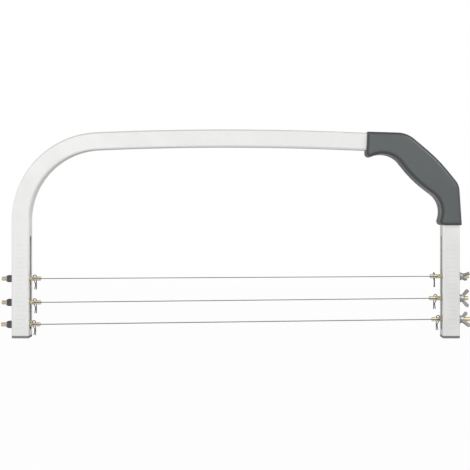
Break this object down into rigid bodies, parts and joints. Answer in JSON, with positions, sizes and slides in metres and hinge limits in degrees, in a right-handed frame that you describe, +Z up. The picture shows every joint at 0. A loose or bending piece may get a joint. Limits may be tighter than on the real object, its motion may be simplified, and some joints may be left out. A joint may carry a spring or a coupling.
{
  "type": "cake leveler",
  "caption": "Bow-shaped cake leveler: a bent metal tube frame with a moulded corner grip and serrated blades held on pins that slide in slots in its legs to set the layer height.",
  "frame": {"origin": "centre of the footprint, on the table under the feet", "axes": "+X along the blades, towards the leg with the grip; -Y is the graduated front; +Z up"},
  "size_m": [0.5444, 0.027, 0.2406],
  "materials": {
    "tube_metal": "bright satin",
    "grip_plastic": "fine grain",
    "plug_plastic": "matte",
    "screw_steel": "zinc plated",
    "insert_brass": "turned",
    "pin_brass": "rolled thread",
    "blade_steel": "ground",
    "clip_wire": "drawn wire",
    "washer_zinc": "zinc plated",
    "nut_steel": "zinc plated, dark",
    "ring_nylon": "natural nylon",
    "wing_zinc": "cast, zinc plated"
  },
  "bodies": {
    "frame": {"bow_frame": "tube_metal", "left_end_plug": "plug_plastic", "right_end_plug": "plug_plastic", "handle_front_shell": "grip_plastic", "handle_back_shell": "grip_plastic", "bottom_handle_screw": "screw_steel", "bottom_handle_insert": "insert_brass", "middle_handle_screw": "screw_steel", "middle_handle_insert": "insert_brass", "top_handle_screw": "screw_steel", "top_handle_insert": "insert_brass"},
    "bottom_blade_set": {"bottom_blade": "blade_steel", "bottom_left_pin": "pin_brass", "bottom_right_pin": "pin_brass", "bottom_left_washer": "washer_zinc", "bottom_lock_nut": "nut_steel", "bottom_lock_ring": "ring_nylon"},
    "bottom_left_clip": {"bottom_left_clip": "clip_wire"},
    "bottom_right_clip": {"bottom_right_clip": "clip_wire"},
    "bottom_right_washer": {"bottom_right_washer": "washer_zinc"},
    "bottom_wing_nut": {"bottom_wing_nut": "wing_zinc"},
    "middle_blade_set": {"middle_blade": "blade_steel", "middle_left_pin": "pin_brass", "middle_right_pin": "pin_brass", "middle_left_washer": "washer_zinc", "middle_lock_nut": "nut_steel", "middle_lock_ring": "ring_nylon"},
    "middle_left_clip": {"middle_left_clip": "clip_wire"},
    "middle_right_clip": {"middle_right_clip": "clip_wire"},
    "middle_right_washer": {"middle_right_washer": "washer_zinc"},
    "middle_wing_nut": {"middle_wing_nut": "wing_zinc"},
    "top_blade_set": {"top_blade": "blade_steel", "top_left_pin": "pin_brass", "top_right_pin": "pin_brass", "top_left_washer": "washer_zinc", "top_lock_nut": "nut_steel", "top_lock_ring": "ring_nylon"},
    "top_left_clip": {"top_left_clip": "clip_wire"},
    "top_right_clip": {"top_right_clip": "clip_wire"},
    "top_right_washer": {"top_right_washer": "washer_zinc"},
    "top_wing_nut": {"top_wing_nut": "wing_zinc"}
  },
  "joints": [
    {"name": "bottom_blade_height", "type": "slide", "parent": "frame", "child": "bottom_blade_set", "axis": [0, 0, 1], "range_m": [-0.0015, 0.0012]},
    {"name": "bottom_left_clip_swivel", "type": "hinge", "parent": "bottom_blade_set", "child": "bottom_left_clip", "pos_m": [-0.2324, 0, 0.0152], "axis": [0, 0, 1], "range_deg": [-104, 0]},
    {"name": "bottom_right_clip_swivel", "type": "hinge", "parent": "bottom_blade_set", "child": "bottom_right_clip", "pos_m": [0.2324, 0, 0.0211], "axis": [0, 0, 1], "range_deg": [0, 104]},
    {"name": "bottom_washer_travel", "type": "slide", "parent": "bottom_blade_set", "child": "bottom_right_washer", "axis": [1, 0, 0], "range_m": [0, 0.0016]},
    {"name": "bottom_wing_nut_turn", "type": "hinge", "parent": "bottom_right_washer", "child": "bottom_wing_nut", "pos_m": [0.2593, 0, 0.0211], "axis": [1, 0, 0], "range_deg": [0, 720]},
    {"name": "middle_blade_height", "type": "slide", "parent": "frame", "child": "middle_blade_set", "axis": [0, 0, 1], "range_m": [-0.0016, 0.002]},
    {"name": "middle_left_clip_swivel", "type": "hinge", "parent": "middle_blade_set", "child": "middle_left_clip", "pos_m": [-0.2315, 0, 0.0407], "axis": [0, 0, 1], "range_deg": [-104, 0]},
    {"name": "middle_right_clip_swivel", "type": "hinge", "parent": "middle_blade_set", "child": "middle_right_clip", "pos_m": [0.2294, 0, 0.0455], "axis": [0, 0, 1], "range_deg": [0, 104]},
    {"name": "middle_washer_travel", "type": "slide", "parent": "middle_blade_set", "child": "middle_right_washer", "axis": [1, 0, 0], "range_m": [0, 0.0016]},
    {"name": "middle_wing_nut_turn", "type": "hinge", "parent": "middle_right_washer", "child": "middle_wing_nut", "pos_m": [0.2593, 0, 0.0455], "axis": [1, 0, 0], "range_deg": [0, 720]},
    {"name": "top_blade_height", "type": "slide", "parent": "frame", "child": "top_blade_set", "axis": [0, 0, 1], "range_m": [-0.002, 0.0435]},
    {"name": "top_left_clip_swivel", "type": "hinge", "parent": "top_blade_set", "child": "top_left_clip", "pos_m": [-0.2315, 0, 0.0683], "axis": [0, 0, 1], "range_deg": [-104, 0]},
    {"name": "top_right_clip_swivel", "type": "hinge", "parent": "top_blade_set", "child": "top_right_clip", "pos_m": [0.2304, 0, 0.071], "axis": [0, 0, 1], "range_deg": [-52, 52]},
    {"name": "top_washer_travel", "type": "slide", "parent": "top_blade_set", "child": "top_right_washer", "axis": [1, 0, 0], "range_m": [0, 0.0016]},
    {"name": "top_wing_nut_turn", "type": "hinge", "parent": "top_right_washer", "child": "top_wing_nut", "pos_m": [0.2593, 0, 0.071], "axis": [1, 0, 0], "range_deg": [0, 720]}
  ],
  "couplings": [
    {"joint": "bottom_wing_nut_turn", "follows": "bottom_washer_travel", "rad_per_m": 7854},
    {"joint": "middle_wing_nut_turn", "follows": "middle_washer_travel", "rad_per_m": 7854},
    {"joint": "top_wing_nut_turn", "follows": "top_washer_travel", "rad_per_m": 7854}
  ]
}
